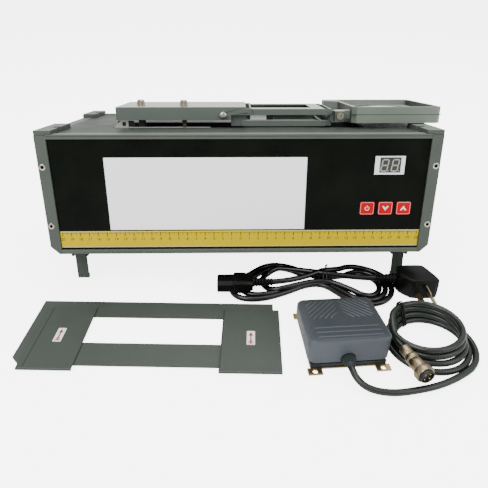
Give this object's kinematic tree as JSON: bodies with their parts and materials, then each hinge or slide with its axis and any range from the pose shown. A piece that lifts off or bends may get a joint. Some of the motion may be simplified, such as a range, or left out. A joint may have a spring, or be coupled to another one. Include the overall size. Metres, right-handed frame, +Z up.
{
  "type": "industrial film viewer with magnifier arm",
  "caption": "Bench light box for reading radiographic film, with a ruler edge, dimmer keys, folding magnifier arm, foot switch, mains lead and sliding film mask.",
  "frame": {"origin": "on the surface it stands on, under the middle of the box round the whole set without its cords", "axes": "+X to the viewer's right along the ruler, +Y to the back, +Z up; the case leans back 11 degrees"},
  "size_m": [0.4587, 0.4163, 0.1941],
  "materials": {
    "bottom_cover": "satin",
    "top_cover": "satin",
    "left_side_frame": "satin",
    "right_side_frame": "satin",
    "cross_rails": "satin",
    "front_panel": "gloss",
    "window_diffuser": "satin",
    "ruler_strip": "satin",
    "light_box": "matt",
    "led_board": "matt",
    "heat_sink": "satin",
    "control_board": "satin",
    "display_module": "gloss",
    "power_supply": "satin",
    "rear_panel": "satin",
    "mains_inlet": "satin",
    "foot_switch_socket": "bright",
    "fan_frames": "satin",
    "fan_rotor_left": "satin",
    "fan_rotor_right": "satin",
    "power_rocker": "gloss",
    "arm_tray": "matt",
    "top_pads": "matt",
    "rear_feet": "matt",
    "tilt_foot_bases": "matt",
    "left_tilt_leg": "satin",
    "right_tilt_leg": "satin",
    "case_screws": "bright",
    "key_power": "gloss",
    "key_down": "gloss",
    "key_up": "gloss",
    "arm_base": "satin",
    "swing_post": "bright",
    "lock_screw": "bright",
    "tension_knob": "bright",
    "upper_arm": "satin",
    "lower_arm": "satin",
    "balance_springs": "satin",
    "spring_block": "satin",
    "head_carrier": "satin",
    "head_screw": "bright",
    "lens_frame": "satin",
    "magnifier_lens": "clear",
    "pedal_base_plate": "satin",
    "pedal_housing": "satin",
    "pedal_cover": "satin",
    "pedal_pin": "satin",
    "pedal_spring": "satin",
    "micro_switch": "satin",
    "cord_gland": "matt",
    "foot_cord": "satin",
    "foot_coil": "satin",
    "connector_shell": "satin",
    "c13_connector": "satin",
    "mains_hank": "gloss",
    "plug_body": "gloss",
    "plug_pins": "bright",
    "mask_frame": "satin",
    "left_shutter": "satin",
    "right_shutter": "satin"
  },
  "bodies": {
    "case": {"bottom_cover": "bottom_cover", "top_cover": "top_cover", "left_side_frame": "left_side_frame", "right_side_frame": "right_side_frame", "cross_rails": "cross_rails", "front_panel": "front_panel", "window_diffuser": "window_diffuser", "ruler_strip": "ruler_strip", "light_box": "light_box", "led_board": "led_board", "heat_sink": "heat_sink", "control_board": "control_board", "display_module": "display_module", "power_supply": "power_supply", "rear_panel": "rear_panel", "mains_inlet": "mains_inlet", "foot_switch_socket": "foot_switch_socket", "fan_frames": "fan_frames", "arm_tray": "arm_tray", "top_pads": "top_pads", "rear_feet": "rear_feet", "tilt_foot_bases": "tilt_foot_bases", "case_screws": "case_screws", "swing_post": "swing_post"},
    "left_fan": {"fan_rotor_left": "fan_rotor_left"},
    "right_fan": {"fan_rotor_right": "fan_rotor_right"},
    "rocker": {"power_rocker": "power_rocker"},
    "left_leg": {"left_tilt_leg": "left_tilt_leg"},
    "right_leg": {"right_tilt_leg": "right_tilt_leg"},
    "power_key": {"key_power": "key_power"},
    "down_key": {"key_down": "key_down"},
    "up_key": {"key_up": "key_up"},
    "base_arm": {"arm_base": "arm_base"},
    "lock": {"lock_screw": "lock_screw"},
    "tension": {"tension_knob": "tension_knob"},
    "upper": {"upper_arm": "upper_arm", "balance_springs": "balance_springs", "spring_block": "spring_block"},
    "lower": {"lower_arm": "lower_arm"},
    "head": {"head_carrier": "head_carrier", "head_screw": "head_screw"},
    "lens": {"lens_frame": "lens_frame", "magnifier_lens": "magnifier_lens"},
    "foot_switch": {"pedal_base_plate": "pedal_base_plate", "pedal_housing": "pedal_housing", "pedal_pin": "pedal_pin", "pedal_spring": "pedal_spring", "micro_switch": "micro_switch", "cord_gland": "cord_gland", "foot_cord": "foot_cord", "foot_coil": "foot_coil", "connector_shell": "connector_shell"},
    "treadle": {"pedal_cover": "pedal_cover"},
    "mains_lead": {"c13_connector": "c13_connector", "mains_hank": "mains_hank", "plug_body": "plug_body", "plug_pins": "plug_pins"},
    "mask": {"mask_frame": "mask_frame"},
    "left_slide": {"left_shutter": "left_shutter"},
    "right_slide": {"right_shutter": "right_shutter"}
  },
  "joints": [
    {"name": "left_fan_spin", "type": "hinge", "parent": "case", "child": "left_fan", "pos_m": [-0.13286, 0.16286, 0.06874], "axis": [0, 0.9816, -0.1908], "continuous": true},
    {"name": "right_fan_spin", "type": "hinge", "parent": "case", "child": "right_fan", "pos_m": [-0.04786, 0.16286, 0.06874], "axis": [0, 0.9816, -0.1908], "continuous": true},
    {"name": "rocker_tip", "type": "hinge", "parent": "case", "child": "rocker", "pos_m": [0.18164, 0.17313, 0.03771], "axis": [1, 0, 0], "range_deg": [0, 16]},
    {"name": "left_leg_fold", "type": "hinge", "parent": "case", "child": "left_leg", "pos_m": [-0.19286, -0.03032, 0.03396], "axis": [1, 0, 0], "range_deg": [0, 85]},
    {"name": "right_leg_fold", "type": "hinge", "parent": "case", "child": "right_leg", "pos_m": [0.18714, -0.03032, 0.03396], "axis": [1, 0, 0], "range_deg": [0, 85]},
    {"name": "power_press", "type": "slide", "parent": "case", "child": "power_key", "axis": [0, 0.9816, -0.1908], "range_m": [0, 0.0008], "stiffness_N_per_m": 600, "springref_m": -0.0005},
    {"name": "down_press", "type": "slide", "parent": "case", "child": "down_key", "axis": [0, 0.9816, -0.1908], "range_m": [0, 0.0008], "stiffness_N_per_m": 600, "springref_m": -0.0005},
    {"name": "up_press", "type": "slide", "parent": "case", "child": "up_key", "axis": [0, 0.9816, -0.1908], "range_m": [0, 0.0008], "stiffness_N_per_m": 600, "springref_m": -0.0005},
    {"name": "arm_swing", "type": "hinge", "parent": "case", "child": "base_arm", "pos_m": [-0.11686, 0.0446, 0.17832], "axis": [0, 0.1908, 0.9816], "range_deg": [-95, 0]},
    {"name": "lock_turn", "type": "hinge", "parent": "base_arm", "child": "lock", "pos_m": [-0.06686, 0.03871, 0.17946], "axis": [0, 0.1908, 0.9816], "continuous": true},
    {"name": "tension_turn", "type": "hinge", "parent": "base_arm", "child": "tension", "pos_m": [-0.02186, 0.03134, 0.17825], "axis": [0, 0.9816, -0.1908], "continuous": true},
    {"name": "arm_lift", "type": "hinge", "parent": "base_arm", "child": "upper", "pos_m": [0.00714, 0.07129, 0.17415], "axis": [0, -0.9816, 0.1908], "range_deg": [0, 45]},
    {"name": "lower_link", "type": "hinge", "parent": "base_arm", "child": "lower", "pos_m": [0.00214, 0.06881, 0.16139], "axis": [0, -0.9816, 0.1908], "range_deg": [0, 45]},
    {"name": "head_level", "type": "hinge", "parent": "upper", "child": "head", "pos_m": [0.10014, 0.07129, 0.17415], "axis": [0, -0.9816, 0.1908], "range_deg": [-45, 0]},
    {"name": "lens_tilt", "type": "hinge", "parent": "head", "child": "lens", "pos_m": [0.11074, 0.04408, 0.17567], "axis": [0, -0.9816, 0.1908], "range_deg": [0, 90]},
    {"name": "foot_switch_place", "type": "slide", "parent": "case", "child": "foot_switch", "axis": [0, -1, 0], "range_m": [0, 0.03]},
    {"name": "treadle_press", "type": "hinge", "parent": "foot_switch", "child": "treadle", "pos_m": [0.09826, -0.17515, 0.02], "axis": [0.9978, 0.0663, 0], "range_deg": [-3.5, 0], "stiffness_Nm_per_rad": 1.5, "springref_deg": 2.86, "deforming": ["pedal_spring"]},
    {"name": "mains_lead_place", "type": "slide", "parent": "case", "child": "mains_lead", "axis": [0, 1, 0], "range_m": [0, 0.005]},
    {"name": "mask_place", "type": "slide", "parent": "case", "child": "mask", "axis": [0, -1, 0], "range_m": [0, 0.03]},
    {"name": "left_shutter_slide", "type": "slide", "parent": "mask", "child": "left_slide", "axis": [0.9993, -0.0366, 0], "range_m": [-0.004, 0.045]},
    {"name": "right_shutter_slide", "type": "slide", "parent": "mask", "child": "right_slide", "axis": [0.9993, -0.0366, 0], "range_m": [-0.045, 0.004]}
  ],
  "couplings": [
    {"joint": "lower_link", "follows": "arm_lift", "ratio": 1},
    {"joint": "head_level", "follows": "arm_lift", "ratio": -1}
  ]
}
